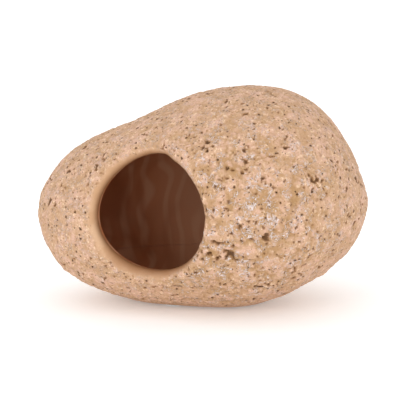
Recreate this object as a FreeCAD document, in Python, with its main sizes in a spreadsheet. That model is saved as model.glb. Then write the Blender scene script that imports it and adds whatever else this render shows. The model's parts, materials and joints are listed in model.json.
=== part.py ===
"""Hollow cast-resin cave stone for an aquarium, as two bonded castings with their linings.

The stone lies along X, its round cave mouth looks towards -Y and a little towards -X,
and the origin is on the surface it stands on, under the middle of its box.
All sizes are millimetres and sit in the spreadsheet "Sizes".
"""

import FreeCAD, Part
import Sketcher
import os

# Stations along the stone, small end first. Each is a vertical elliptical section:
# where it is along X, how far its centre sways in Y, how high its centre is,
# its half-width in Y and its half-height in Z.
STATIONS = {
    "a": (-72.5, 2.0, 40.5, 12.0, 11.0),
    "b": (-65.0, 2.0, 40.0, 24.0, 23.0),
    "c": (-52.0, 2.0, 40.5, 34.5, 33.0),
    "d": (-32.0, 1.0, 41.5, 43.5, 40.5),
    "e": (-8.0, 0.5, 45.5, 51.0, 47.0),
    "f": (18.0, 0.0, 48.5, 55.0, 50.0),
    "g": (42.0, 0.0, 50.5, 50.0, 44.5),
    "h": (59.0, 0.0, 49.5, 38.0, 32.5),
    "i": (71.0, 0.0, 46.0, 17.5, 14.5),
}
# What Sketcher calls a circle's centre, the sketch's origin and that origin's point.
CIRCLE_CENTRE, ORIGIN, POINT = 3, -1, 1
# The four pads, by their side of the middle along X and across Y.
PAD_PLACES = {
    "front_left": (-1, -1), "front_right": (1, -1), "back_left": (-1, 1), "back_right": (1, 1),
}
# Levels of the joint between the castings, as expressions.
RIM = "Sizes.seam_height"
LAP_TOP = "(Sizes.seam_height + Sizes.lap_height)"
# Points closer than this lie on the same surface.
TOUCHING = 0.01
STATION_FIELDS = ("along", "sway", "centre_height", "half_width", "half_height")

SIZES = {
    # tips of the stone
    "small_tip_along": (-75.0, "small end"),
    "small_tip_height": (40.5, "height of the small end's tip"),
    "small_tip_sway": (2.0, "sideways place of the small end's tip"),
    "large_tip_along": (75.0, "large end"),
    "large_tip_height": (45.5, "height of the large end's tip"),
    "large_tip_sway": (0.0, "sideways place of the large end's tip"),
    "tip_radius": (2.0, "each tip ends in a flat this wide, which is lost in the stone's grain"),
    # walls
    "wall": (6.0, "stone-effect casting"),
    "lining": (1.5, "brown backing resin inside it"),
    # joint between the two castings
    "seam_height": (15.0, "top of the base casting's rim"),
    "lap_height": (4.0, "how far the base casting's tongue rises above its rim"),
    "bond": (0.4, "epoxy layer in the joint"),
    "seam_recess": (0.3, "how far the epoxy lies below the stone's face"),
    # cave mouth
    "mouth_radius": (25.0, "straight throat"),
    "mouth_along": (-21.5, "centre of the mouth"),
    "mouth_height": (47.0, "centre of the mouth"),
    "mouth_turn": (24.0, "degrees from -Y towards -X"),
    "mouth_rise": (2.0, "degrees above level"),
    "mouth_reach_in": (30.0, "how far the cutting cylinder starts behind the centre"),
    "mouth_reach_out": (40.0, "how far it goes out past the centre"),
    "mouth_depth": (-38.0, "place of the centre in Y"),
    "lip_radius": (3.5, "rounded outer edge of the mouth"),
    "lining_setback": (0.6, "the lining's edge stands back from the throat by this"),
    # air vent
    "vent_radius": (2.0, "lets trapped air out while the cave floods"),
    "vent_along": (24.0, "centre of the vent"),
    "vent_back": (30.0, "centre of the vent in Y"),
    # underside
    "ground_height": (1.0, "the ground underside stands off the tank floor by this"),
    "pad_radius": (4.0, "bumper pad"),
    "pad_thickness": (2.0, "bumper pad, half of it in its pocket"),
    "pad_edge": (0.5, "chamfer round the pad's lower edge"),
    "pad_gap": (0.15, "glue room around the pad in its pocket"),
    "pad_spacing_along": (30.0, "between pad centres"),
    "pad_spacing_across": (16.0, "between pad centres"),
    "pad_middle_along": (2.0, "middle of the four pads"),
    # cutting blocks
    "block": (220.0, "side of the blocks that split the stone"),
}


def make_sheet(doc):
    """Puts every driving dimension in the sheet, one alias each."""
    sheet = doc.addObject("Spreadsheet::Sheet", "Sizes")
    rows = dict(SIZES)
    for letter, values in STATIONS.items():
        for field, value in zip(STATION_FIELDS, values):
            rows[f"{field}_{letter}"] = (value, f"station {letter}")
    for number, (name, (value, note)) in enumerate(rows.items(), start=1):
        sheet.set(f"A{number}", name)
        sheet.set(f"B{number}", str(value))
        sheet.set(f"C{number}", note)
        sheet.setAlias(f"B{number}", name)
    doc.recompute()
    return sheet


def bind(obj, **expressions):
    """Binds properties to the sheet; a double underscore in a keyword stands for a dot."""
    for path, expression in expressions.items():
        obj.setExpression(path.replace("__", "."), expression)
    return obj


def add(doc, kind, name, **expressions):
    """Adds one object, labels it with its name and binds its sizes."""
    return bind(doc.addObject(kind, name), **expressions)


def slope_at(index, letters):
    """Expression for how fast the mean radius grows along X at one station."""
    def radius(i):
        if 0 <= i < len(letters):
            return f"(Sizes.half_width_{letters[i]} + Sizes.half_height_{letters[i]}) / 2"
        return "Sizes.tip_radius"

    def along(i):
        if i < 0:
            return "Sizes.small_tip_along"
        if i >= len(letters):
            return "Sizes.large_tip_along"
        return f"Sizes.along_{letters[i]}"

    rise = f"({radius(index + 1)} - {radius(index - 1)})"
    run = f"({along(index + 1)} - {along(index - 1)})"
    return f"({rise} / {run})"


def stone_form(doc, name, inset="0"):
    """The stone's whole form, moved inwards everywhere by inset, lofted through its stations."""
    letters = list(STATIONS)
    lie_across = FreeCAD.Rotation(
        FreeCAD.Vector(0, 1, 0), FreeCAD.Vector(0, 0, 1), FreeCAD.Vector(1, 0, 0), "ZXY"
    )

    def section(mark, along, sway, height, half_width, half_height):
        made = doc.addObject("Part::Ellipse", f"{name}_section_{mark}")
        made.Placement = FreeCAD.Placement(FreeCAD.Vector(), lie_across)
        return bind(
            made,
            Placement__Base__x=along, Placement__Base__y=sway, Placement__Base__z=height,
            MajorRadius=half_width, MinorRadius=half_height,
        )

    def tip(end, sign):
        return section(
            f"{end}_tip", f"Sizes.{end}_tip_along {sign} ({inset})",
            f"Sizes.{end}_tip_sway", f"Sizes.{end}_tip_height",
            "Sizes.tip_radius", "Sizes.tip_radius",
        )

    sections = [tip("small", "+")]
    for index, letter in enumerate(letters):
        slope = slope_at(index, letters)
        thinned = f"({inset}) / sqrt(1 + {slope} * {slope})"
        sections.append(section(
            letter, f"Sizes.along_{letter} + {slope} * {thinned}",
            f"Sizes.sway_{letter}", f"Sizes.centre_height_{letter}",
            f"Sizes.half_width_{letter} - {thinned}", f"Sizes.half_height_{letter} - {thinned}",
        ))
    sections.append(tip("large", "-"))
    form = doc.addObject("Part::Loft", name)
    form.Sections = sections
    form.Solid = True
    return form


def block(doc, name, bottom, height="Sizes.block"):
    """A square block from the level bottom upwards, wide enough to take in the whole stone."""
    return add(
        doc, "Part::Box", name,
        Length="Sizes.block", Width="Sizes.block", Height=height,
        Placement__Base__x="-Sizes.block / 2", Placement__Base__y="-Sizes.block / 2",
        Placement__Base__z=bottom,
    )


def cut(doc, name, base, tool):
    """base less tool."""
    made = doc.addObject("Part::Cut", name)
    made.Base, made.Tool = base, tool
    return made


def common(doc, name, base, tool):
    """What base and tool share."""
    made = doc.addObject("Part::Common", name)
    made.Base, made.Tool = base, tool
    return made


def fuse(doc, name, base, tool):
    """base and tool in one."""
    made = doc.addObject("Part::Fuse", name)
    made.Base, made.Tool = base, tool
    return made


def mouth_cutter(doc, name, radius):
    """The cylinder that opens the cave mouth, along the mouth's own axis."""
    inwards = "Sizes.mouth_reach_in * cos(Sizes.mouth_rise * 1 deg)"
    return add(
        doc, "Part::Cylinder", name,
        Radius=radius, Height="Sizes.mouth_reach_in + Sizes.mouth_reach_out",
        Placement__Rotation__Yaw="-Sizes.mouth_turn",
        Placement__Rotation__Roll="90 - Sizes.mouth_rise",
        Placement__Base__x=f"Sizes.mouth_along + {inwards} * sin(Sizes.mouth_turn * 1 deg)",
        Placement__Base__y=f"Sizes.mouth_depth + {inwards} * cos(Sizes.mouth_turn * 1 deg)",
        Placement__Base__z=(
            "Sizes.mouth_height - Sizes.mouth_reach_in * sin(Sizes.mouth_rise * 1 deg)"),
    )


def vent_cutter(doc, name):
    """The upright drill that opens the air vent from the middle of the cave upwards."""
    return add(
        doc, "Part::Cylinder", name,
        Radius="Sizes.vent_radius", Height="Sizes.block",
        Placement__Base__x="Sizes.vent_along", Placement__Base__y="Sizes.vent_back",
        Placement__Base__z="Sizes.centre_height_f",
    )


def place_pad(obj, signs, height):
    """Binds an object's place to one of the four pad places."""
    along, across = signs
    return bind(
        obj,
        Placement__Base__x=f"Sizes.pad_middle_along + {along} * Sizes.pad_spacing_along / 2",
        Placement__Base__y=f"{across} * Sizes.pad_spacing_across / 2",
        Placement__Base__z=height,
    )


def pad(doc, name, signs):
    """A bumper pad: a sketched disc, padded, with its lower edge chamfered."""
    body = doc.addObject("PartDesign::Body", name)
    floor = next(f for f in body.Origin.OriginFeatures if f.Role == "XY_Plane")
    sketch = body.newObject("Sketcher::SketchObject", f"{name}_outline")
    sketch.AttachmentSupport = [(floor, "")]
    sketch.MapMode = "FlatFace"
    circle = Part.Circle(
        FreeCAD.Vector(), FreeCAD.Vector(0, 0, 1), SIZES["pad_radius"][0]
    )
    edge = sketch.addGeometry(circle)
    sketch.addConstraint(Sketcher.Constraint("Coincident", edge, CIRCLE_CENTRE, ORIGIN, POINT))
    size = sketch.addConstraint(Sketcher.Constraint("Radius", edge, SIZES["pad_radius"][0]))
    sketch.setExpression(f"Constraints[{size}]", "Sizes.pad_radius")
    disc = body.newObject("PartDesign::Pad", f"{name}_disc")
    disc.Profile = sketch
    disc.setExpression("Length", "Sizes.pad_thickness")
    doc.recompute()
    lower = [
        f"Edge{i}" for i, e in enumerate(disc.Shape.Edges, start=1)
        if e.BoundBox.ZMax < 1e-6
    ]
    chamfer = body.newObject("PartDesign::Chamfer", f"{name}_edge")
    chamfer.Base = (disc, lower)
    chamfer.setExpression("Size", "Sizes.pad_edge")
    place_pad(body, signs, "0")
    return body


def lip_edges(shape, throat):
    """Numbers of the edges where the straight throat meets the stone's outer face."""
    way_out = throat.Placement.Rotation.multVec(FreeCAD.Vector(0, 0, 1))
    outer_face = max(shape.Faces, key=lambda face: face.Area)

    def on_throat(edge):
        if edge.Degenerated or isinstance(edge.Curve, Part.Line):
            return False
        middle = edge.valueAt((edge.FirstParameter + edge.LastParameter) / 2)
        off_axis = middle.distanceToLine(throat.Placement.Base, way_out)
        return abs(off_axis - throat.Radius.Value) < TOUCHING

    return [
        number for number, edge in enumerate(shape.Edges, start=1)
        if on_throat(edge) and any(edge.isSame(other) for other in outer_face.Edges)
    ]


def base_casting(doc, outside, tongue, cavity):
    """The lower casting: a ground dish whose tongue stands up inside its rim, with pad pockets."""
    dish = common(doc, "dish", outside, block(
        doc, "dish_block", "Sizes.ground_height", f"{RIM} - Sizes.ground_height"))
    collar = common(doc, "collar", tongue, block(
        doc, "collar_block", "Sizes.ground_height", f"{LAP_TOP} - Sizes.ground_height"))
    casting = cut(doc, "hollow_dish", fuse(doc, "solid_dish", dish, collar), cavity)
    for name, signs in PAD_PLACES.items():
        pocket = add(
            doc, "Part::Cylinder", f"pocket_{name}",
            Radius="Sizes.pad_radius + Sizes.pad_gap", Height="Sizes.pad_thickness",
        )
        place_pad(pocket, signs, "0")
        casting = cut(doc, f"dish_with_pocket_{name}", casting, pocket)
    return casting


def closed_cap(doc, outside, socket, cavity):
    """The upper casting before its openings: the rest of the stone, rebated over the tongue."""
    cap = common(doc, "cap", outside, block(doc, "cap_block", f"{RIM} + Sizes.bond"))
    rebate = common(doc, "rebate", socket, block(
        doc, "rebate_block", "0", f"{LAP_TOP} + Sizes.bond"))
    return cut(doc, "hollow_cap", cut(doc, "rebated_cap", cap, rebate), cavity)


def upper_casting(doc, cap):
    """The upper casting with its vent and its cave mouth, whose outer edge is rounded."""
    throat = mouth_cutter(doc, "throat", "Sizes.mouth_radius")
    opened = cut(doc, "opened_cap", cap, throat)
    vented = cut(doc, "vented_cap", opened, vent_cutter(doc, "vent"))
    doc.recompute()
    rounded = doc.addObject("Part::Fillet", "rounded_cap")
    rounded.Base = vented
    lip = SIZES["lip_radius"][0]
    rounded.Edges = [(number, lip, lip) for number in lip_edges(vented.Shape, throat)]
    return rounded


def linings(doc, cavity, cave):
    """The brown resin brushed into each casting: (upper, base)."""
    skin = cut(doc, "skin", cavity, cave)
    floor = common(doc, "floor_skin", skin, block(doc, "floor_block", "0", LAP_TOP))
    roof = common(doc, "roof_skin", skin, block(
        doc, "roof_block", f"{LAP_TOP} + Sizes.bond"))
    wide_throat = mouth_cutter(
        doc, "wide_throat", "Sizes.mouth_radius + Sizes.lining_setback")
    open_roof = cut(doc, "open_roof", roof, wide_throat)
    return cut(doc, "vented_roof", open_roof, vent_cutter(doc, "lining_vent")), floor


def epoxy_bead(doc, bead_face, cave, base, cap, base_lining):
    """The bond between the castings: what they leave free from the outer face to the cave."""
    band = common(doc, "band", bead_face, block(
        doc, "band_block", RIM, "Sizes.lap_height + Sizes.bond"))
    ring = cut(doc, "ring", band, cave)
    ring_on_base = cut(doc, "ring_on_base", ring, base)
    joint_ring = cut(doc, "joint_ring", ring_on_base, cap)
    return cut(doc, "bead", joint_ring, base_lining)


def build(doc):
    """Makes the whole document and returns the sub-parts by their file names."""
    make_sheet(doc)
    outside = stone_form(doc, "outside")
    bead_face = stone_form(doc, "bead_face", "Sizes.seam_recess")
    socket = stone_form(doc, "socket", "Sizes.wall / 2")
    tongue = stone_form(doc, "tongue", "Sizes.wall / 2 + Sizes.bond")
    cavity = stone_form(doc, "cavity", "Sizes.wall")
    cave = stone_form(doc, "cave", "Sizes.wall + Sizes.lining")
    doc.recompute()
    base_shell = base_casting(doc, outside, tongue, cavity)
    cap = closed_cap(doc, outside, socket, cavity)
    upper_lining, base_lining = linings(doc, cavity, cave)
    parts = {
        "upper_shell": upper_casting(doc, cap),
        "base_shell": base_shell,
        "upper_lining": upper_lining,
        "base_lining": base_lining,
        "seam_bead": epoxy_bead(
            doc, bead_face, cave, base_shell, cap, base_lining),
    }
    for name, signs in PAD_PLACES.items():
        parts[f"bumper_pad_{name}"] = pad(doc, f"bumper_pad_{name}", signs)
    for label, obj in parts.items():
        obj.Label = label
    doc.recompute()
    return parts


def check(doc, parts):
    """Stops with a plain message if any object failed or a sub-part isn't one valid solid."""
    failed = [o.Name for o in doc.Objects if {"Invalid", "Error"} & set(o.State)]
    if failed:
        raise RuntimeError(f"these objects failed: {failed}")
    for name, obj in parts.items():
        shape = obj.Shape
        if shape.isNull() or not shape.isValid() or len(shape.Solids) != 1:
            raise RuntimeError(f"{name} isn't one valid solid")
        print(f"{name}: {shape.Volume / 1000:.2f} cm3")


def main():
    """Builds the stone, checks it and writes one STEP file for each sub-part."""
    doc = FreeCAD.newDocument("cave_stone")
    parts = build(doc)
    check(doc, parts)
    os.makedirs("parts", exist_ok=True)
    for name, obj in parts.items():
        obj.Shape.exportStep(f"parts/{name}.step")


main()
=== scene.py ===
"""Looks of a hollow stone-effect resin cave: its grained castings, brown lining and pads.

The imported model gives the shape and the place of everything. This file grains the two castings,
keeps the linings with a new finish, wipes the epoxy bead level, remakes the bumper pads, and sets
up the studio.
"""

from __future__ import annotations

import json
import logging
import math
from dataclasses import dataclass, field
from enum import Enum
from typing import Any, Iterable, Union

import bmesh
import bpy
import numpy as np
from mathutils import Euler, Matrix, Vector, noise
from mathutils.bvhtree import BVHTree

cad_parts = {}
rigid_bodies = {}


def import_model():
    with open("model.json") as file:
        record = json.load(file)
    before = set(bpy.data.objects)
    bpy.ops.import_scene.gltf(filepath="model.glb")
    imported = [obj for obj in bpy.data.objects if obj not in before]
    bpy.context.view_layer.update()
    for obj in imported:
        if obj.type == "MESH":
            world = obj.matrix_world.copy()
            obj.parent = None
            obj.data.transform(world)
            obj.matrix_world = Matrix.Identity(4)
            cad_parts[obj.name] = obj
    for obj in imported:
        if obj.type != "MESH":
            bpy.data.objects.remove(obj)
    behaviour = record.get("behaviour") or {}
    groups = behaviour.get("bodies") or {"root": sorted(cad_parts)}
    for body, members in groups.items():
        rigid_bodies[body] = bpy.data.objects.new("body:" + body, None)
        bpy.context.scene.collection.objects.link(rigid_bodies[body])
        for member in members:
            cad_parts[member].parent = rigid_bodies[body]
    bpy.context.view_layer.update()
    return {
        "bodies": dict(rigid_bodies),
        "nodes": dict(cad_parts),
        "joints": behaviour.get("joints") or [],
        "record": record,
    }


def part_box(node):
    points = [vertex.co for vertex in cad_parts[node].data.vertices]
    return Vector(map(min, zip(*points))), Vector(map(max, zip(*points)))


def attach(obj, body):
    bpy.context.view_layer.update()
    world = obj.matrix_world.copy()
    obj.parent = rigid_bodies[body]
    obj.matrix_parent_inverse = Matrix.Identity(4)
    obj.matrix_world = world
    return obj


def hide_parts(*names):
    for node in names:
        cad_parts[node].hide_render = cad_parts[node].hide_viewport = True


LOG = logging.getLogger("cave_stone")
MM = 0.001
BODY = "root"
ASKEW = np.array(Euler((0.62, 0.94, 0.37)).to_matrix())

Colour = tuple[float, float, float]
Number = Union[float, "Value"]


class Slot(str, Enum):
    """The record's material slots."""

    STONE = "stone_effect_resin"
    LINING = "cave_lining_resin"
    EPOXY = "epoxy"
    PAD = "bumper_pad"


class Mask(str, Enum):
    """Names of the attributes that the graining leaves on a casting for its finish."""

    GRAIN = "grain"
    PIT = "pit"
    CREVICE = "crevice"
    COARSE = "coarse"
    # Painted shade down the mouth's throat, 0 out at the rim and 1 next to the lining.
    THROAT_SHADE = "throat"


# ---------------------------------------------------------------- shader maths


class Value:
    """A number that varies over a surface: a socket that takes Python's operators."""

    def __init__(self, graph: "Graph", socket: bpy.types.NodeSocket) -> None:
        """Wraps a socket.

        Args:
            graph: the graph that new Math nodes go into.
            socket: the output socket that carries the number.
        """
        self.graph = graph
        self.socket = socket

    def _math(self, operation: str, first: Number, second: Number = 0.0) -> "Value":
        """Adds one Math node.

        Args:
            operation: Blender's name of the operation.
            first: the first operand.
            second: the second operand.

        Returns:
            The node's result.
        """
        made = self.graph.node("ShaderNodeMath", {"operation": operation}, {0: first, 1: second})
        return Value(self.graph, made.outputs[0])

    def __add__(self, other: Number) -> "Value":
        """self + other."""
        return self._math("ADD", self, other)

    def __radd__(self, other: Number) -> "Value":
        """other + self."""
        return self._math("ADD", other, self)

    def __sub__(self, other: Number) -> "Value":
        """self - other."""
        return self._math("SUBTRACT", self, other)

    def __rsub__(self, other: Number) -> "Value":
        """other - self."""
        return self._math("SUBTRACT", other, self)

    def __mul__(self, other: Number) -> "Value":
        """self * other."""
        return self._math("MULTIPLY", self, other)

    def __rmul__(self, other: Number) -> "Value":
        """other * self."""
        return self._math("MULTIPLY", other, self)

    def __abs__(self) -> "Value":
        """The size of self without its sign."""
        return self._math("ABSOLUTE", self)

    def most(self, other: Number) -> "Value":
        """The larger of self and other."""
        return self._math("MAXIMUM", self, other)

    def ramp(self, low: Number, high: Number, start: float = 0.0, end: float = 1.0) -> "Value":
        """Eases from start to end while self goes from low to high, and stays there outside.

        Args:
            low: where the ramp begins; it may be larger than high.
            high: where the ramp ends.
            start: the result at low.
            end: the result at high.

        Returns:
            The eased number.
        """
        made = self.graph.node(
            "ShaderNodeMapRange",
            {"interpolation_type": "SMOOTHSTEP"},
            {"Value": self, "From Min": low, "From Max": high, "To Min": start, "To Max": end},
        )
        return Value(self.graph, made.outputs["Result"])


class Graph:
    """The node graph of one material."""

    def __init__(self, name: str) -> None:
        """Starts an empty material.

        Args:
            name: the material's name.
        """
        self.material = bpy.data.materials.new(name)
        self.material.use_nodes = True
        self.tree = self.material.node_tree
        self.tree.nodes.clear()
        self._place: bpy.types.NodeSocket | None = None

    def node(
        self, kind: str, settings: dict[str, Any] | None = None, inputs: dict[Any, Any] | None = None
    ) -> bpy.types.Node:
        """Adds a node of any type.

        Args:
            kind: Blender's type name.
            settings: the node's own settings, set before its sockets.
            inputs: by socket name or number, a plain value, a socket or a Value.

        Returns:
            The new node.
        """
        made = self.tree.nodes.new(kind)
        for key, value in (settings or {}).items():
            setattr(made, key, value)
        for key, value in (inputs or {}).items():
            if isinstance(value, Value):
                value = value.socket
            if isinstance(value, bpy.types.NodeSocket):
                self.tree.links.new(value, made.inputs[key])
            elif isinstance(value, tuple) and made.inputs[key].type == "RGBA":
                made.inputs[key].default_value = (*value, 1.0)
            else:
                made.inputs[key].default_value = value
        return made

    def place(self) -> bpy.types.NodeSocket:
        """The point on the object, in millimetres."""
        if self._place is None:
            where = self.node("ShaderNodeTexCoord").outputs["Object"]
            self._place = self.vector("SCALE", where, 1.0 / MM)
        return self._place

    def vector(self, operation: str, first: Any, second: Any) -> bpy.types.NodeSocket:
        """Adds one Vector Math node.

        Args:
            operation: Blender's name of the operation.
            first: the first vector.
            second: the second vector, or the factor for SCALE.

        Returns:
            The resulting vector's socket.
        """
        place = "Scale" if operation == "SCALE" else 1
        made = self.node("ShaderNodeVectorMath", {"operation": operation}, {0: first, place: second})
        return made.outputs["Vector"]

    def attribute(self, name: Mask) -> Value:
        """A number stored on the mesh's vertices."""
        made = self.node("ShaderNodeAttribute", {"attribute_name": name.value})
        return Value(self, made.outputs["Fac"])

    def noise(
        self, size: float, detail: float = 2.0, warp: float = 0.0, where: Any = None,
        roughness: float = 0.5,
    ) -> Value:
        """Soft noise from 0 to 1.

        Args:
            size: how far apart its blotches are, in millimetres.
            detail: octaves of finer noise on top.
            warp: how strongly it swirls.
            where: the point to read it at; the object's own if left out.
            roughness: how strong the finer octaves are.

        Returns:
            The noise.
        """
        made = self.node(
            "ShaderNodeTexNoise", {},
            {"Vector": where or self.place(), "Scale": 1.0 / size, "Detail": detail,
             "Roughness": roughness, "Distortion": warp},
        )
        return Value(self, made.outputs["Fac"])

    def jittered(self, size: float, reach: float) -> bpy.types.NodeSocket:
        """The point on the object, pushed about by noise, so that patterns lose their round outlines.

        Args:
            size: how far apart the pushes are, in millimetres.
            reach: how far the largest push goes, in millimetres.

        Returns:
            The pushed point's socket.
        """
        push = self.node(
            "ShaderNodeTexNoise", {}, {"Vector": self.place(), "Scale": 1.0 / size, "Detail": 1.0})
        centred = self.vector("SUBTRACT", push.outputs["Color"], (0.5, 0.5, 0.5))
        return self.vector("ADD", self.place(), self.vector("SCALE", centred, 2.0 * reach))

    def along(self, axis: str) -> Value:
        """The place on the object along one axis, X, Y or Z, in millimetres."""
        split = self.node("ShaderNodeSeparateXYZ", {}, {"Vector": self.place()})
        return Value(self, split.outputs[axis])

    def moved(self, step: float) -> bpy.types.NodeSocket:
        """The point on the object, moved by a step along each axis, for an unlike pattern."""
        return self.vector("ADD", self.place(), (step, step, step))

    def scattered(self, spacing: float, where: Any) -> bpy.types.Node:
        """A Voronoi node whose points are scattered this many millimetres apart on average."""
        return self.node(
            "ShaderNodeTexVoronoi", {"feature": "F1"},
            {"Vector": where, "Scale": 1.0 / spacing, "Randomness": 1.0},
        )

    def cells(self, spacing: float, where: Any) -> Value:
        """The distance to the nearest of scattered points, in spacings: low on a crumb, high between.

        Args:
            spacing: the mean distance between the points, in millimetres.
            where: the point to read it at.

        Returns:
            The distance.
        """
        return Value(self, self.scattered(spacing, where).outputs["Distance"])

    def strokes(self, width: float, wander: float, where: Any) -> Value:
        """Side-by-side bands that wander, for painted streaks of reflection: from 0 between two bands to
        1 along each middle.

        Args:
            width: the mean distance between their middles, in millimetres.
            wander: how far they stray from straight; 6 is about one band's width.
            where: the point to read them at.

        Returns:
            The mask.
        """
        made = self.node(
            "ShaderNodeTexWave", {"wave_type": "BANDS", "bands_direction": "X", "wave_profile": "SIN"},
            {"Vector": where, "Scale": math.pi / (10.0 * width), "Distortion": wander, "Detail": 1.0,
             "Detail Scale": 1.2},
        )
        return Value(self, made.outputs["Fac"])

    def pinholes(self, spacing: float, radius: float, share: float, where: Any) -> Value:
        """Scattered round holes of differing size: 1 in a hole, 0 between.

        Args:
            spacing: the mean distance between possible holes, in millimetres.
            radius: the largest hole's radius, in millimetres.
            share: the share of places that have a hole.
            where: the point to read them at.

        Returns:
            The mask.
        """
        cells = self.scattered(spacing, where)
        lot = self.node("ShaderNodeSeparateColor", {}, {"Color": cells.outputs["Color"]})
        size = Value(self, lot.outputs["Red"]).ramp(1.0 - share, 1.0) * (radius / spacing)
        distance = Value(self, cells.outputs["Distance"])
        return distance.ramp(size, size * 0.55)

    def mix(self, share: Number, first: Any, second: Any) -> bpy.types.NodeSocket:
        """Mixes two colours.

        Args:
            share: 0 for the first, 1 for the second.
            first: a colour or a colour socket.
            second: a colour or a colour socket.

        Returns:
            The mixed colour's socket.
        """
        made = self.node("ShaderNodeMix", {"data_type": "RGBA"}, {0: share, 6: first, 7: second})
        return made.outputs[2]

    def bump(self, height: Value, relief: float) -> bpy.types.NodeSocket:
        """A surface normal tilted by a height.

        Args:
            height: the height, from 0 to 1.
            relief: what 1 stands for, in millimetres.

        Returns:
            The normal's socket.
        """
        made = self.node(
            "ShaderNodeBump", {}, {"Strength": 1.0, "Distance": relief * MM, "Height": height})
        return made.outputs["Normal"]

    def surface(self, **inputs: Any) -> bpy.types.Material:
        """Closes the graph with a Principled shader.

        Args:
            inputs: its sockets by name, with underscores for spaces.

        Returns:
            The finished material.
        """
        named = {key.replace("_", " "): value for key, value in inputs.items()}
        shader = self.node("ShaderNodeBsdfPrincipled", {}, named)
        self.node("ShaderNodeOutputMaterial", {}, {"Surface": shader.outputs["BSDF"]})
        return self.material


# ---------------------------------------------------------------- finishes


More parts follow.
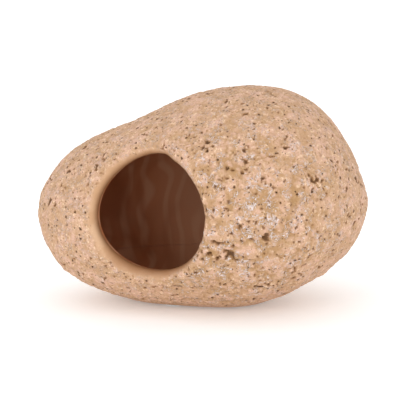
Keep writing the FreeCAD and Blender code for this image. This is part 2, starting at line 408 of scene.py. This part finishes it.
@dataclass(frozen=True)
class StoneFinish:
    """Painted stone-effect resin: sandy crumbs with dark pinholes, pale veins and a smooth tan lip, with
    painted light and shade on its relief and painted shade in the mouth's throat.

    Sizes are millimetres and colours are linear.
    """

    name: str = "stone_effect"
    sand: Colour = (0.600, 0.372, 0.238)
    blush: Colour = (0.700, 0.440, 0.330)
    # Pale straw: the lip's lighter smears, and the painted highlight on the relief's raised chips.
    straw_and_highlight: Colour = (0.840, 0.600, 0.410)
    # Olive: the stone's ochre patches, and painted shade in its gaps, between its crumbs and in its
    # crevices.
    olive: Colour = (0.440, 0.255, 0.115)
    # Brown: painted shade in the deepest gaps; round and in the pits it is partly their own dark and
    # partly painted shade.
    brown: Colour = (0.270, 0.125, 0.045)
    chalk: Colour = (0.790, 0.690, 0.670)
    # Near-black at the bottoms of the pits and in the pinholes: partly their own dark, partly painted
    # shade.
    pinhole_shade: Colour = (0.080, 0.032, 0.010)
    lip: Colour = (0.540, 0.315, 0.172)
    # Painted shade: the lip's colour deep in the throat, next to the lining.
    lip_shade: Colour = (0.270, 0.115, 0.045)
    patch_size: float = 6.0
    hollow_size: float = 4.2
    chip_size: float = 1.25
    crumb_size: float = 1.6
    vein_size: float = 2.2
    vein_patch: float = 4.5
    jitter: tuple[float, float] = (0.9, 0.6)
    large_holes: tuple[float, float, float] = (2.2, 0.60, 0.55)
    small_holes: tuple[float, float, float] = (1.3, 0.34, 0.45)
    halo_radius: float = 1.10
    smear_size: float = 7.0
    roughness: float = 0.88
    lip_roughness: float = 0.6
    relief: float = 0.95

    def body(self, g: Graph) -> tuple[bpy.types.NodeSocket, Value]:
        """Colours the grained part.

        Args:
            g: the graph to build in.

        Returns:
            Its colour, and its fine height from about -1 to 1.
        """
        pit, coarse = g.attribute(Mask.PIT), g.attribute(Mask.COARSE)
        crevice = g.attribute(Mask.CREVICE)
        loose = g.jittered(*self.jitter)
        patches = g.noise(self.patch_size, detail=2.0, warp=0.5)
        hollows = g.noise(self.hollow_size, detail=3.0, warp=0.8, where=g.moved(31.0))
        highlit_chips = g.noise(self.chip_size, detail=3.0, roughness=0.6)
        gaps = g.noise(self.chip_size * 0.85, detail=3.0, roughness=0.6, where=g.moved(73.0))
        crumbs = g.cells(self.crumb_size, loose)
        ridge = 1.0 - abs(g.noise(self.vein_size, detail=2.0, warp=0.9) - 0.5) * 2.0
        veined = g.noise(self.vein_patch, detail=2.0, where=g.moved(11.0)).ramp(0.46, 0.58)
        veins = ridge.ramp(0.91, 0.98) * veined
        holes = g.pinholes(*self.large_holes, loose).most(g.pinholes(*self.small_holes, loose))
        spacing, _, share = self.large_holes
        halos = g.pinholes(spacing, self.halo_radius, share, loose)

        colour = g.mix(patches.ramp(0.44, 0.60) * 0.75, self.sand, self.blush)
        colour = g.mix(hollows.ramp(0.54, 0.68) * (0.35 + coarse * 0.45), colour, self.olive)
        fine = 0.92 - coarse * 0.05
        # Painted light and shade on the fine bump: lighter on the raised chips, darker in the sunk gaps
        # and between the crumbs.
        colour = g.mix(highlit_chips.ramp(0.53, 0.66) * fine, colour, self.straw_and_highlight)
        colour = g.mix(gaps.ramp(0.46, 0.30) * fine, colour, self.olive)
        colour = g.mix(gaps.ramp(0.38, 0.26) * 0.8, colour, self.brown)
        colour = g.mix(crumbs.ramp(0.5, 0.75) * coarse * 0.35, colour, self.olive)
        # Darker in the relief's crevices: partly the stone's ochre, partly painted shade.
        colour = g.mix(crevice * 0.8, colour, self.olive)
        colour = g.mix(veins * (0.3 + coarse * 0.6), colour, self.chalk)
        # Round and in the pits and pinholes: brown, then near-black at the bottom, partly their own dark
        # and partly painted shade.
        colour = g.mix(halos * 0.4, colour, self.brown)
        colour = g.mix(pit.ramp(0.05, 0.6) * 0.75, colour, self.brown)
        colour = g.mix(pit.ramp(0.6, 1.0) * 0.75, colour, self.pinhole_shade)
        colour = g.mix(holes * 0.85, colour, self.pinhole_shade)
        return colour, highlit_chips * 0.5 + gaps * 0.5 - crumbs * 0.25 + veins * 0.2 - holes * 0.7

    def material(self) -> bpy.types.Material:
        """Builds the material.

        Returns:
            The material, which reads the attributes that Graining leaves on the mesh.
        """
        g = Graph(self.name)
        grain, throat = g.attribute(Mask.GRAIN), g.attribute(Mask.THROAT_SHADE)
        body, height = self.body(g)
        smears = g.noise(self.smear_size, detail=3.0)
        lip = g.mix(smears.ramp(0.40, 0.65) * 0.25, self.lip, self.straw_and_highlight)
        # Painted shade: the lip darkens towards the lining, down the throat.
        lip = g.mix(throat, lip, self.lip_shade)
        rough = self.lip_roughness + grain * (self.roughness - self.lip_roughness)
        return g.surface(
            Base_Color=g.mix(grain, lip, body), Roughness=rough,
            Normal=g.bump(height * grain + smears * 0.15, self.relief), IOR=1.45,
            Specular_IOR_Level=0.3,
        )


@dataclass(frozen=True)
class LiningFinish:
    """Dark brown resin brushed on by hand, with broad swirls, painted streaks of reflection and painted
    light on the cave's right side. Sizes are millimetres.
    """

    name: str = "cave_lining"
    dark: Colour = (0.340, 0.105, 0.034)
    middle: Colour = (0.440, 0.165, 0.070)
    # The colour of the painted light: the streaks of reflection and the lit right side of the cave.
    painted_light_tone: Colour = (0.570, 0.300, 0.175)
    swirl_size: float = 24.0
    brush_size: float = 2.6
    upright: float = 0.42
    # Where the painted streaks of reflection run: their spacing, wander and slant.
    sheen_width: float = 10.0
    sheen_wander: float = 10.0
    sheen_upright: float = 0.85
    # Painted light: from this X to this, in millimetres, the lining turns lighter towards the cave's
    # right side, where light falls in through the mouth.
    lit_side_along: tuple[float, float] = (-30.0, 2.0)
    roughness: float = 0.55
    relief: float = 0.25

    def body(self, g: Graph) -> tuple[bpy.types.NodeSocket, Value]:
        """Colours the brushed resin with its painted light, the same on every piece that it runs over.

        Args:
            g: the graph to build in.

        Returns:
            Its colour, and its height from 0 to 1.
        """
        drawn = g.vector("MULTIPLY", g.place(), (1.0, 1.0, self.upright))
        broad = g.noise(self.swirl_size, detail=2.0, warp=0.8, where=drawn)
        curved = g.vector("MULTIPLY", g.place(), (1.0, 1.0, self.sheen_upright))
        strokes = g.strokes(self.sheen_width, self.sheen_wander, curved)
        # Painted reflection: lighter streaks where an uneven glossy lining would catch the light.
        painted_sheen = strokes.ramp(0.40, 1.0) * broad.ramp(0.42, 0.60)
        brush = g.noise(self.brush_size, detail=3.0, where=drawn)
        # Painted light: lighter towards the cave's right side, where light falls in through the mouth.
        painted_lit_side = g.along("X").ramp(*self.lit_side_along)
        colour = g.mix(broad.ramp(0.35, 0.65), self.dark, self.middle)
        colour = g.mix(painted_lit_side * 0.60, colour, self.painted_light_tone)
        colour = g.mix(painted_sheen * 0.6, colour, self.painted_light_tone)
        return colour, broad * 0.5 + painted_sheen * 0.1 + brush * 0.1

    def material(self) -> bpy.types.Material:
        """Builds the material.

        Returns:
            The material.
        """
        g = Graph(self.name)
        colour, height = self.body(g)
        return g.surface(
            Base_Color=colour, Roughness=self.roughness + height * 0.2,
            Normal=g.bump(height, self.relief), IOR=1.5, Specular_IOR_Level=0.22,
        )


@dataclass(frozen=True)
class EpoxyFinish:
    """Filled epoxy in the joint: wiped back with the stone's sand outside, brushed brown in the cave in
    the lining's colours, their painted light included.
    """

    name: str = "joint_epoxy"
    sandy: Colour = (0.520, 0.325, 0.205)
    bare: Colour = (0.230, 0.115, 0.060)
    brushed: LiningFinish = LiningFinish()
    brushed_from: float = 17.0
    sand_size: float = 0.8
    smear_size: float = 9.0
    roughness: float = 0.7

    def material(self) -> bpy.types.Material:
        """Builds the material.

        Returns:
            The material.
        """
        g = Graph(self.name)
        sand = g.noise(self.sand_size, detail=3.0)
        smears = g.noise(self.smear_size, detail=2.0).ramp(0.46, 0.64)
        colour = g.mix(smears * 0.7, self.sandy, self.bare)
        colour = g.mix(sand.ramp(0.35, 0.6) * 0.3, colour, self.bare)
        inside = g.along("Z").ramp(self.brushed_from - 0.5, self.brushed_from + 0.5)
        # Inside, the bead takes the lining's colours, with its painted streaks of reflection and painted
        # lit side.
        lining, _ = self.brushed.body(g)
        return g.surface(
            Base_Color=g.mix(inside, colour, lining), Roughness=self.roughness + sand * 0.2,
            Normal=g.bump(sand, 0.25), IOR=1.5,
        )


@dataclass(frozen=True)
class PadFinish:
    """Milky soft rubber with a little dust."""

    name: str = "bumper_rubber"
    clear: Colour = (0.660, 0.665, 0.650)
    dusty: Colour = (0.520, 0.500, 0.460)
    dust_size: float = 1.6
    roughness: float = 0.35

    def material(self) -> bpy.types.Material:
        """Builds the material.

        Returns:
            The material.
        """
        g = Graph(self.name)
        dust = g.noise(self.dust_size, detail=4.0)
        colour = g.mix(dust.ramp(0.45, 0.75) * 0.6, self.clear, self.dusty)
        return g.surface(
            Base_Color=colour, Roughness=self.roughness + dust * 0.3,
            Normal=g.bump(dust, 0.08), IOR=1.49, Subsurface_Weight=0.25,
            Subsurface_Radius=(0.002, 0.002, 0.002), Subsurface_Scale=1.0,
        )


@dataclass(frozen=True)
class FloorFinish:
    """A plain matt white studio table, lit a little from below."""

    name: str = "studio_floor"
    white: Colour = (0.93, 0.93, 0.93)
    glow: float = 0.22

    def material(self) -> bpy.types.Material:
        """Builds the material.

        Returns:
            The material.
        """
        g = Graph(self.name)
        return g.surface(
            Base_Color=self.white, Roughness=0.9, Specular_IOR_Level=0.1, Emission_Color=self.white,
            Emission_Strength=self.glow,
        )


# ---------------------------------------------------------------- mesh workshop


class Workshop:
    """Helpers that copy, remesh and read meshes."""

    @staticmethod
    def object_from(mesh: bpy.types.Mesh, name: str) -> bpy.types.Object:
        """Links a mesh into the scene as an object at the origin."""
        made = bpy.data.objects.new(name, mesh)
        bpy.context.scene.collection.objects.link(made)
        return made

    @staticmethod
    def merged_copy(node: bpy.types.Object, name: str) -> bpy.types.Object:
        """Copies a CAD node's mesh and joins its loose triangles.

        Args:
            node: the CAD node's object.
            name: the copy's name.

        Returns:
            The copy, a closed mesh.
        """
        bm = bmesh.new()
        bm.from_mesh(node.data)
        bmesh.ops.remove_doubles(bm, verts=bm.verts, dist=0.002 * MM)
        mesh = bpy.data.meshes.new(name)
        bm.to_mesh(mesh)
        bm.free()
        return Workshop.object_from(mesh, name)

    @staticmethod
    def applied(obj: bpy.types.Object) -> None:
        """Turns an object's live modifiers into its mesh."""
        depsgraph = bpy.context.evaluated_depsgraph_get()
        depsgraph.update()
        made = bpy.data.meshes.new_from_object(obj.evaluated_get(depsgraph))
        obj.modifiers.clear()
        old, obj.data = obj.data, made
        made.name = obj.name
        bpy.data.meshes.remove(old)

    @staticmethod
    def evened(obj: bpy.types.Object, voxel: float, smoothing: int) -> None:
        """Gives an object's mesh small even faces.

        Args:
            obj: the object; its mesh must be closed.
            voxel: the faces' size, in millimetres.
            smoothing: how many times the steps that the voxels leave are smoothed.
        """
        remesh = obj.modifiers.new("even", "REMESH")
        remesh.mode = "VOXEL"
        remesh.voxel_size = voxel * MM
        Workshop.applied(obj)
        bm = bmesh.new()
        bm.from_mesh(obj.data)
        for _ in range(smoothing):
            bmesh.ops.smooth_vert(
                bm, verts=bm.verts, factor=0.5, use_axis_x=True, use_axis_y=True, use_axis_z=True)
        bm.to_mesh(obj.data)
        bm.free()

    @staticmethod
    def thinned(obj: bpy.types.Object, weights: np.ndarray, ratio: float) -> None:
        """Collapses faces where the weights are high and leaves the rest.

        Args:
            obj: the object.
            weights: one weight for each vertex, 0 where nothing may be lost.
            ratio: the share of all faces that stays.
        """
        group = obj.vertex_groups.new(name="unseen")
        for index in np.flatnonzero(weights > 0.5):
            group.add([int(index)], 1.0, "REPLACE")
        decimate = obj.modifiers.new("thin", "DECIMATE")
        decimate.ratio = ratio
        decimate.vertex_group = group.name
        decimate.vertex_group_factor = 10.0
        Workshop.applied(obj)
        obj.vertex_groups.clear()

    @staticmethod
    def points(mesh: bpy.types.Mesh) -> np.ndarray:
        """The vertices' places in millimetres, one row each."""
        flat = np.empty(len(mesh.vertices) * 3, dtype=np.float32)
        mesh.vertices.foreach_get("co", flat)
        return flat.reshape(-1, 3).astype(float) / MM

    @staticmethod
    def depths(points: np.ndarray, surface: BVHTree) -> np.ndarray:
        """How far each point is from a surface, all in millimetres.

        Args:
            points: places in millimetres, one row each.
            surface: the search tree of a surface in metres.

        Returns:
            One distance for each point.
        """
        near = (surface.find_nearest(Vector(row) * MM)[3] for row in points.tolist())
        return np.fromiter(near, float, len(points)) / MM

    @staticmethod
    def normals(mesh: bpy.types.Mesh) -> np.ndarray:
        """The vertices' normals, one row each."""
        flat = np.empty(len(mesh.vertices) * 3, dtype=np.float32)
        mesh.vertex_normals.foreach_get("vector", flat)
        return flat.reshape(-1, 3).astype(float)

    @staticmethod
    def place(mesh: bpy.types.Mesh, points: np.ndarray) -> None:
        """Moves the vertices to the given places, in millimetres."""
        mesh.vertices.foreach_set("co", (points * MM).astype(np.float32).ravel())
        mesh.update()

    @staticmethod
    def store(mesh: bpy.types.Mesh, name: Mask, values: np.ndarray) -> None:
        """Stores one number for each vertex as an attribute."""
        layer = mesh.attributes.new(name.value, "FLOAT", "POINT")
        layer.data.foreach_set("value", values.astype(np.float32))

    @staticmethod
    def smooth_shaded(obj: bpy.types.Object) -> None:
        """Shades an object's faces smoothly."""
        obj.data.polygons.foreach_set("use_smooth", np.ones(len(obj.data.polygons), dtype=bool))
        obj.data.update()

    @staticmethod
    def dressed(obj: bpy.types.Object, material: bpy.types.Material) -> None:
        """Makes a material the only one on an object."""
        obj.data.materials.clear()
        obj.data.materials.append(material)


def eased(values: np.ndarray, low: float, high: float) -> np.ndarray:
    """Eases from 0 at low to 1 at high, for arrays.

    Args:
        values: the numbers to ease.
        low: where the result is 0; it may be larger than high.
        high: where the result is 1.

    Returns:
        The eased numbers.
    """
    part = np.clip((values - low) / (high - low), 0.0, 1.0)
    return part * part * (3.0 - 2.0 * part)


def noise_at(points: np.ndarray, size: float, seed: float) -> np.ndarray:
    """Soft noise from -1 to 1 at many points.

    Args:
        points: places in millimetres, one row each.
        size: how far apart the noise's blotches are, in millimetres.
        seed: moves the pattern.

    Returns:
        One number for each point.
    """
    scaled = points @ ASKEW / size + seed
    return np.fromiter((noise.noise(Vector(row)) for row in scaled.tolist()), float, len(points))


# ---------------------------------------------------------------- the stone


@dataclass
class Mouth:
    """Where the cave's round mouth is, in millimetres and degrees."""

    along: float = -21.5
    across: float = -38.0
    height: float = 47.0
    turn: float = 24.0
    rise: float = 2.0
    radius: float = 25.0
    throat_depth: tuple[float, float] = (-18.0, -12.0)
    shelf: float = 1.5
    shelf_start: tuple[float, float] = (4.0, 20.0)
    shelf_end: tuple[float, float] = (45.0, 92.0)
    shelf_width: tuple[float, float] = (1.0, 7.0)

    def way_out(self) -> np.ndarray:
        """The direction out of the cave, as a unit vector."""
        turn, rise = math.radians(self.turn), math.radians(self.rise)
        return np.array([
            -math.sin(turn) * math.cos(rise), -math.cos(turn) * math.cos(rise), math.sin(rise)])

    def reach(self, points: np.ndarray) -> tuple[np.ndarray, np.ndarray, np.ndarray]:
        """Measures points against the mouth.

        Args:
            points: places in millimetres, one row each.

        Returns:
            How far each is from the mouth's axis, how far along the way out, and which side of the
            mouth it is on: -1 beside the small end, 1 beside the large one.
        """
        offset = points - np.array([self.along, self.across, self.height])
        ahead = offset @ self.way_out()
        aside = offset - ahead[:, None] * self.way_out()
        off_axis = np.linalg.norm(aside, axis=1)
        turn = math.radians(self.turn)
        side = aside @ np.array([math.cos(turn), -math.sin(turn), 0.0])
        return off_axis, ahead, side / np.maximum(off_axis, 1e-6)

    def ledge(self, points: np.ndarray) -> np.ndarray:
        """How far the rim leans in over the mouth, up beside the large end, as a shift of each point."""
        off_axis, ahead, side = self.reach(points)
        inward = np.array([self.along, self.across, self.height]) + ahead[:, None] * self.way_out()
        inward = (inward - points) / np.maximum(off_axis, 1e-6)[:, None]
        clock = np.degrees(np.arctan2(side, -inward[:, 2]))
        span = eased(clock, *self.shelf_start) * (1.0 - eased(clock, *self.shelf_end))
        first, last = self.shelf_width
        near = 1.0 - eased(off_axis - self.radius, first, last)
        return inward * (self.shelf * span * near * eased(ahead, *self.throat_depth))[:, None]


@dataclass
class Flush:
    """The epoxy bead, wiped level with the stone outside and with the lining inside."""

    node: str = "seam_bead"
    recess: float = 0.34
    middle_height: float = 17.0

    def build(self, frame: dict[str, Any], finish: bpy.types.Material) -> bpy.types.Object:
        """Makes the level bead and has it stand for the CAD node.

        Args:
            frame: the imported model.
            finish: the epoxy's material.

        Returns:
            The bead.
        """
        made = Workshop.merged_copy(frame["nodes"][self.node], f"{self.node}_wiped")
        points, normals = Workshop.points(made.data), Workshop.normals(made.data)
        outward = np.sign((points[:, :2] * normals[:, :2]).sum(axis=1))
        shown = np.where(points[:, 2] < self.middle_height, outward > 0, outward < 0)
        level = normals * np.array([1.0, 1.0, 0.0])
        Workshop.place(made.data, points + level * (self.recess * shown)[:, None])
        Workshop.dressed(made, finish)
        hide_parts(self.node)
        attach(made, BODY)
        LOG.info("%s: %d faces", made.name, len(made.data.polygons))
        return made


@dataclass
class Graining:
    """The stone's relief, the same for both castings so that it runs on across their joint.

    Sizes are millimetres.
    """

    mouth: Mouth = field(default_factory=Mouth)
    lump: tuple[float, float] = (24.0, 0.5)
    knob: tuple[float, float] = (7.0, 0.38)
    crumb: tuple[float, float] = (3.4, 0.70)
    grit: tuple[float, float] = (1.8, 0.30)
    coarse_centre: tuple[float, float, float] = (14.0, -48.0, 44.0)
    coarse_reach: tuple[float, float] = (18.0, 56.0)
    pit_size: float = 1.9
    pit_depth: float = 0.85
    deep_spots: tuple[tuple[float, float, float, float], ...] = (
        (5.0, -40.0, 20.0, 1.7), (27.0, -52.0, 40.0, 1.6), (22.0, -53.0, 45.0, 1.3),
        (12.0, -50.0, 33.0, 1.5), (3.0, -42.0, 29.0, 1.3),
    )
    lip_band: tuple[float, float] = (1.2, -1.2)
    lip_sides: tuple[float, float] = (-0.2, 0.9)
    lip_fade: float = 2.6
    # Painted shade in the throat: the distances from the lining, in millimetres, where it starts and
    # where it is full.
    throat: tuple[float, float] = (5.2, 0.6)
    low_lip: tuple[float, float] = (34.0, 24.0)
    # Low on the rim the painted shade starts this much further from the lining.
    low_throat: float = 3.4
    low_band: float = 1.2
    ground: tuple[float, float] = (1.05, 2.6)
    inside: tuple[float, float] = (2.2, 3.4)

    def weight(self, points: np.ndarray, depth: np.ndarray) -> np.ndarray:
        """How much of the relief each point takes: none on the lip, inside or underneath.

        Args:
            points: places in millimetres, one row each.
            depth: how far each point is from the lining, in millimetres.

        Returns:
            One weight from 0 to 1 for each point.
        """
        off_axis, ahead, side = self.mouth.reach(points)
        small_end, large_end = self.lip_band
        band = small_end + (large_end - small_end) * eased(side, *self.lip_sides)
        # Low on the rim the smooth, darker lip runs wider, which also paints shade on the lower rim.
        band += self.low_band * eased(points[:, 2], *self.low_lip)
        band = self.mouth.radius + band + noise_at(points, 4.0, 61.0)
        clear = eased((off_axis - band) / self.lip_fade, 0.0, 1.0)
        lip = 1.0 - eased(ahead, *self.mouth.throat_depth) * (1.0 - clear)
        return lip * eased(depth, *self.inside) * eased(points[:, 2], *self.ground)

    def coarseness(self, points: np.ndarray) -> np.ndarray:
        """How coarse the grain is at each point: most beside the mouth, least at the far end."""
        away = np.linalg.norm(points - np.array(self.coarse_centre), axis=1)
        first, last = self.coarse_reach
        return eased(away, last, first)

    def crevices(self, points: np.ndarray, size: float) -> np.ndarray:
        """How close each point is to the gap between two crumbs: 0 on a crumb, 1 in the gap.

        Args:
            points: places in millimetres, one row each.
            size: the crumbs' spacing, in millimetres.

        Returns:
            One number for each point.
        """
        wander = np.column_stack([noise_at(points, 2.4, seed) for seed in (5.0, 23.0, 41.0)])
        scaled = (points + 1.1 * wander) / size
        gaps = (noise.voronoi(Vector(row))[0] for row in scaled.tolist())
        return 1.0 - eased(np.fromiter((d[1] - d[0] for d in gaps), float, len(points)), 0.0, 0.45)

    def pits(self, points: np.ndarray, coarse: np.ndarray) -> np.ndarray:
        """Crumbled hollows of uneven outline, in loose groups: 0 between them, 1 at their deepest."""
        crowd = noise_at(points, 8.0, 91.0)
        threshold = 0.46 - 0.42 * crowd - 0.10 * coarse
        for *centre, radius in self.deep_spots:
            away = np.linalg.norm(points - np.array(centre), axis=1)
            threshold -= 0.72 * eased(away, radius * 2.4, radius * 0.5)
        ragged = noise_at(points, self.pit_size, 133.0) + 0.35 * noise_at(points, 1.1, 151.0)
        return eased(ragged - threshold, 0.0, 0.32)

    def apply(self, obj: bpy.types.Object, hidden: BVHTree) -> None:
        """Grains a casting's mesh and stores what its finish reads.

        Args:
            obj: the casting.
            hidden: the surfaces that line the castings.
        """
        mesh = obj.data
        points, normals = Workshop.points(mesh), Workshop.normals(mesh)
        depth = Workshop.depths(points, hidden)
        weight = self.weight(points, depth)
        coarse = self.coarseness(points)
        swell = 0.55 + 0.6 * coarse
        height = self.lump[1] * noise_at(points, self.lump[0], 17.0)
        height += self.knob[1] * noise_at(points, self.knob[0], 34.0) * (0.7 + 0.6 * coarse)
        crevice = self.crevices(points, self.crumb[0]) * eased(noise_at(points, 6.0, 77.0), -0.35, 0.2)
        height -= self.crumb[1] * crevice * swell
        height += self.grit[1] * noise_at(points, self.grit[0], 51.0) * swell
        pit = self.pits(points, coarse)
        moved = (height - 0.1 - self.pit_depth * pit * swell) * weight
        Workshop.place(mesh, points + normals * moved[:, None] + self.mouth.ledge(points))
        Workshop.store(mesh, Mask.GRAIN, weight)
        Workshop.store(mesh, Mask.COARSE, coarse)
        Workshop.store(mesh, Mask.CREVICE, crevice * weight * swell)
        Workshop.store(mesh, Mask.PIT, pit * weight)
        # The throat's painted shade: darker nearer the lining, and starting further out low on the rim.
        first, last = self.throat
        first = first + self.low_throat * eased(points[:, 2], *self.low_lip)
        Workshop.store(mesh, Mask.THROAT_SHADE, eased(depth, first, last))


@dataclass
class Casting:
    """One of the stone's two resin castings, regrained from its CAD node."""

    node: str
    joint: tuple[float, float]
    voxel: float = 0.785
    smoothing: int = 2
    thin_ratio: float = 0.62
    backed_depth: float = 0.9
    mouth_margin: float = 4.0
    mouth_depth: float = -20.0

    def close_joint(self, obj: bpy.types.Object) -> None:
        """Carries the casting's edge a little past the glue line, so that paint and grit bridge it."""
        old, new = self.joint
        points = Workshop.points(obj.data)
        points[np.abs(points[:, 2] - old) < 0.06, 2] = new
        Workshop.place(obj.data, points)

    def unseen(self, obj: bpy.types.Object, hidden: BVHTree, mouth: Mouth) -> np.ndarray:
        """Marks the vertices of the wall behind the lining, away from the mouth."""
        points = Workshop.points(obj.data)
        off_axis, ahead, _ = mouth.reach(points)
        by_mouth = (off_axis < mouth.radius + self.mouth_margin) & (ahead > self.mouth_depth)
        return ((Workshop.depths(points, hidden) < self.backed_depth) & ~by_mouth).astype(float)

    def build(
        self, frame: dict[str, Any], graining: Graining, hidden: BVHTree, finish: bpy.types.Material
    ) -> bpy.types.Object:
        """Makes the grained casting and has it stand for the CAD node.

        Args:
            frame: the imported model.
            graining: the stone's relief.
            hidden: the surfaces that line the castings.
            finish: the stone's material.

        Returns:
            The casting.
        """
        made = Workshop.merged_copy(frame["nodes"][self.node], f"{self.node}_grained")
        self.close_joint(made)
        Workshop.evened(made, self.voxel, self.smoothing)
        Workshop.thinned(made, self.unseen(made, hidden, graining.mouth), self.thin_ratio)
        graining.apply(made, hidden)
        Workshop.smooth_shaded(made)
        Workshop.dressed(made, finish)
        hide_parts(self.node)
        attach(made, BODY)
        LOG.info("%s: %d faces", made.name, len(made.data.polygons))
        return made


@dataclass
class Stone:
    """The whole stone: both castings, the linings and the bead in their joint."""

    castings: tuple[Casting, Casting] = (
        Casting("upper_shell", (15.4, 14.5)), Casting("base_shell", (15.0, 15.9)))
    linings: tuple[str, str] = ("upper_lining", "base_lining")
    bead: Flush = field(default_factory=Flush)
    graining: Graining = field(default_factory=Graining)

    def lining_surface(self, frame: dict[str, Any]) -> BVHTree:
        """A search tree over the linings."""
        bm = bmesh.new()
        for name in self.linings:
            bm.from_mesh(frame["nodes"][name].data)
        tree = BVHTree.FromBMesh(bm)
        bm.free()
        return tree

    def build(self, frame: dict[str, Any]) -> None:
        """Grains the castings and finishes the linings and the bead.

        Args:
            frame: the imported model.
        """
        hidden = self.lining_surface(frame)
        stone = StoneFinish().material()
        for casting in self.castings:
            casting.build(frame, self.graining, hidden, stone)
        lining = LiningFinish().material()
        for name in self.linings:
            Workshop.dressed(frame["nodes"][name], lining)
            LOG.info("%s: new finish", name)
        self.bead.build(frame, EpoxyFinish().material())


@dataclass
class BumperPad:
    """One soft pad under the stone: a disc with a rounded edge and a shallow moulded dish below."""

    node: str
    sides: int = 48
    edge: float = 0.55
    edge_steps: int = 4
    rim_angle: float = 40.0
    dish_share: float = 0.55
    dish_depth: float = 0.25

    def build(self, finish: bpy.types.Material) -> bpy.types.Object:
        """Makes the pad in its CAD node's place.

        Args:
            finish: the pad's material.

        Returns:
            The pad.
        """
        low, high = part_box(self.node)
        radius, thickness = (high.x - low.x) / 2, high.z - low.z
        bm = bmesh.new()
        bmesh.ops.create_circle(bm, cap_ends=True, radius=radius, segments=self.sides)
        bmesh.ops.recalc_face_normals(bm, faces=bm.faces)
        under = bm.faces[:]
        grown = bmesh.ops.extrude_face_region(bm, geom=under)
        lifted = [item for item in grown["geom"] if isinstance(item, bmesh.types.BMVert)]
        bmesh.ops.translate(bm, verts=lifted, vec=(0, 0, thickness))
        bm.faces.ensure_lookup_table()
        bottom = min(bm.faces, key=lambda face: face.calc_center_median().z)
        bmesh.ops.inset_region(bm, faces=[bottom], thickness=radius * (1 - self.dish_share))
        bmesh.ops.translate(bm, verts=bottom.verts[:], vec=(0, 0, self.dish_depth * MM))
        rims = [
            edge for edge in bm.edges
            if len(edge.link_faces) == 2 and edge.calc_face_angle(0.0) > math.radians(self.rim_angle)
        ]
        bmesh.ops.bevel(
            bm, geom=rims, offset=self.edge * MM, offset_type="OFFSET", segments=self.edge_steps,
            profile=0.5, affect="EDGES", clamp_overlap=True, material=-1,
        )
        middle = (low + high) / 2
        bmesh.ops.translate(bm, verts=bm.verts, vec=(middle.x, middle.y, low.z))
        bmesh.ops.recalc_face_normals(bm, faces=bm.faces)
        mesh = bpy.data.meshes.new(f"{self.node}_moulded")
        bm.to_mesh(mesh)
        bm.free()
        made = Workshop.object_from(mesh, mesh.name)
        Workshop.smooth_shaded(made)
        Workshop.dressed(made, finish)
        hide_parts(self.node)
        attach(made, BODY)
        LOG.info("%s: %d faces", made.name, len(mesh.polygons))
        return made


# ---------------------------------------------------------------- the studio


@dataclass(frozen=True)
class Lamp:
    """One square soft light. Sizes are metres and watts."""

    name: str
    place: tuple[float, float, float]
    size: float
    power: float

    def build(self, target: Vector) -> None:
        """Adds the light, facing the target.

        Args:
            target: the point that it faces.
        """
        data = bpy.data.lights.new(self.name, "AREA")
        data.energy, data.size = self.power, self.size
        made = bpy.data.objects.new(self.name, data)
        made.location = self.place
        aim = target - Vector(self.place)
        made.rotation_euler = aim.to_track_quat("-Z", "Y").to_euler()
        bpy.context.scene.collection.objects.link(made)


@dataclass
class Studio:
    """A white table, soft light from all round and the camera. Sizes are metres and degrees."""

    target: tuple[float, float, float] = (-0.0011, 0.0, 0.0464)
    distance: float = 0.68
    elevation: float = 10.0
    lens: float = 135.0
    floor_size: float = 4.0
    sky: float = 1.04
    lamps: tuple[Lamp, ...] = (
        Lamp("key", (-0.60, -0.95, 0.55), 0.5, 1.6),
        Lamp("front", (-0.30, -1.10, 0.06), 0.3, 1.7),
        Lamp("side", (0.62, -0.90, 0.12), 0.4, 1.3),
    )

    def floor(self) -> bpy.types.Object:
        """Adds the floor, level with the pads' undersides."""
        bm = bmesh.new()
        bmesh.ops.create_grid(bm, x_segments=1, y_segments=1, size=self.floor_size)
        mesh = bpy.data.meshes.new("studio_floor")
        bm.to_mesh(mesh)
        bm.free()
        made = Workshop.object_from(mesh, "studio_floor")
        Workshop.dressed(made, FloorFinish().material())
        return made

    def world(self) -> None:
        """Surrounds the scene with even white light."""
        world = bpy.data.worlds.new("studio")
        world.use_nodes = True
        background = world.node_tree.nodes["Background"]
        background.inputs["Color"].default_value = (1.0, 1.0, 1.0, 1.0)
        background.inputs["Strength"].default_value = self.sky
        bpy.context.scene.world = world

    def camera(self) -> None:
        """Adds the camera and makes it the scene's own."""
        data = bpy.data.cameras.new("camera")
        data.lens, data.sensor_width = self.lens, 36.0
        made = bpy.data.objects.new("camera", data)
        rise = math.radians(self.elevation)
        aim = Vector((0.0, math.cos(rise), -math.sin(rise)))
        made.location = Vector(self.target) - aim * self.distance
        made.rotation_euler = aim.to_track_quat("-Z", "Y").to_euler()
        bpy.context.scene.collection.objects.link(made)
        bpy.context.scene.camera = made

    def build(self) -> None:
        """Sets up the floor, the light and the camera."""
        self.floor()
        self.world()
        for lamp in self.lamps:
            lamp.build(Vector(self.target))
        self.camera()
        bpy.context.scene.view_settings.view_transform = "Standard"
        LOG.info("studio: floor, lights and camera")


def main() -> None:
    """Builds the stone's looks piece by piece."""
    logging.basicConfig(level=logging.INFO, format="%(name)s %(message)s")
    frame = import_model()
    Stone().build(frame)
    pad_finish = PadFinish().material()
    for name in sorted(node for node in frame["nodes"] if node.startswith("bumper_pad")):
        BumperPad(name).build(pad_finish)
    Studio().build()


if __name__ == "__main__":
    main()
